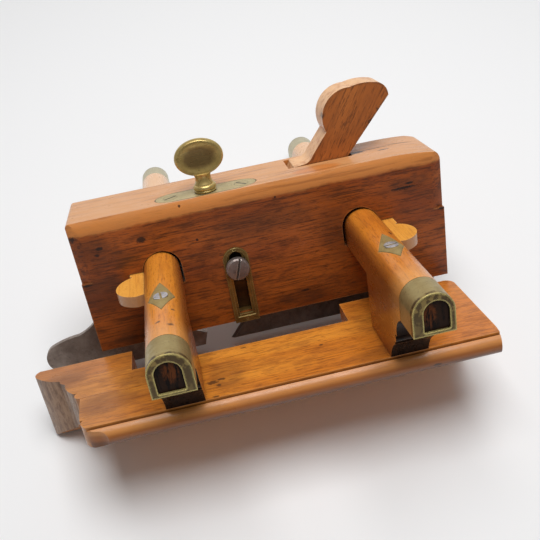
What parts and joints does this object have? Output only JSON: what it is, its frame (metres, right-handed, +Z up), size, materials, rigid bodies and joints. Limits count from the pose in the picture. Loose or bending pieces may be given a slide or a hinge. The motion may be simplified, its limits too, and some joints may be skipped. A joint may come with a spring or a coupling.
{
  "type": "plough plane",
  "caption": "Wooden plough plane that cuts grooves, with a fence on keyed stems, steel skates, a wedged iron and a screw depth stop.",
  "frame": {"origin": "on the skate's sole, under the middle of the stock's length and in the middle of the skate's thickness", "axes": "+X from the toe to the heel along the stock, +Y along the stems away from the fence, +Z up from the sole"},
  "size_m": [0.2403, 0.2733, 0.1538],
  "materials": {
    "stock_wood": "aged varnished beech, dark reddish brown",
    "fence_wood": "varnished beech, golden brown",
    "stem_wood": "varnished beech, orange brown",
    "wedge_wood": "beech, worn bare on its edges",
    "key_wood": "polished boxwood",
    "skate_steel": "dark patinated steel",
    "iron_steel": "aged tool steel",
    "screw_steel": "aged steel",
    "lock_steel": "dark worn steel",
    "stem_screw_steel": "worn bright steel",
    "plate_brass": "dull aged brass",
    "plate_screw_brass": "dull aged brass",
    "side_brass": "dark aged brass",
    "stop_brass": "aged brass",
    "knob_brass": "aged cast brass",
    "ferrule_brass": "dull aged brass, worn bright on the rims",
    "washer_brass": "dull aged brass"
  },
  "bodies": {
    "stock": {"stock_body": "stock_wood", "skate_front": "skate_steel", "skate_rear": "skate_steel", "skate_screws": "screw_steel", "top_plate": "plate_brass", "top_plate_screws": "plate_screw_brass", "side_plate": "side_brass", "side_plate_pins": "side_brass"},
    "thumb_screw": {"stop_screw_head": "knob_brass", "stop_screw_spindle": "screw_steel", "stop_screw_collar": "screw_steel"},
    "depth_stop": {"stop_bar": "stop_brass", "stop_shoe": "stop_brass", "stop_rivets": "stop_brass"},
    "stop_lock": {"lock_screw": "lock_steel"},
    "iron": {"cutting_iron": "iron_steel"},
    "wedge_body": {"wedge": "wedge_wood"},
    "fence_unit": {"fence": "fence_wood", "stem_front": "stem_wood", "stem_rear": "stem_wood", "ferrule_front_near": "ferrule_brass", "ferrule_front_far": "ferrule_brass", "ferrule_rear_near": "ferrule_brass", "ferrule_rear_far": "ferrule_brass", "washer_front": "washer_brass", "washer_rear": "washer_brass", "stem_screws": "stem_screw_steel"},
    "front_key": {"key_front": "key_wood"},
    "rear_key": {"key_rear": "key_wood"}
  },
  "joints": [
    {"name": "fence_slide", "type": "slide", "parent": "stock", "child": "fence_unit", "axis": [0, 1, 0], "range_m": [-0.11, 0.0235]},
    {"name": "thumb_turn", "type": "hinge", "parent": "stock", "child": "thumb_screw", "pos_m": [-0.026, -0.0152, 0.1005], "axis": [0, 0, 1], "range_deg": [0, 6810]},
    {"name": "stop_travel", "type": "slide", "parent": "stock", "child": "depth_stop", "axis": [0, 0, -1], "range_m": [0, 0.024]},
    {"name": "lock_turn", "type": "hinge", "parent": "depth_stop", "child": "stop_lock", "pos_m": [-0.018, -0.0255, 0.0576], "axis": [0, -1, 0], "range_deg": [0, 540]},
    {"name": "iron_slide", "type": "slide", "parent": "stock", "child": "iron", "axis": [-0.6428, 0, -0.766], "range_m": [0, 0.038]},
    {"name": "wedge_lift", "type": "slide", "parent": "stock", "child": "wedge_body", "axis": [0.5736, 0, 0.8192], "range_m": [0, 0.06]},
    {"name": "front_key_slide", "type": "slide", "parent": "stock", "child": "front_key", "axis": [0, -1, 0], "range_m": [0, 0.04]},
    {"name": "rear_key_slide", "type": "slide", "parent": "stock", "child": "rear_key", "axis": [0, -1, 0], "range_m": [0, 0.04]}
  ],
  "couplings": [
    {"joint": "thumb_turn", "follows": "stop_travel", "rad_per_m": 4947.4}
  ]
}
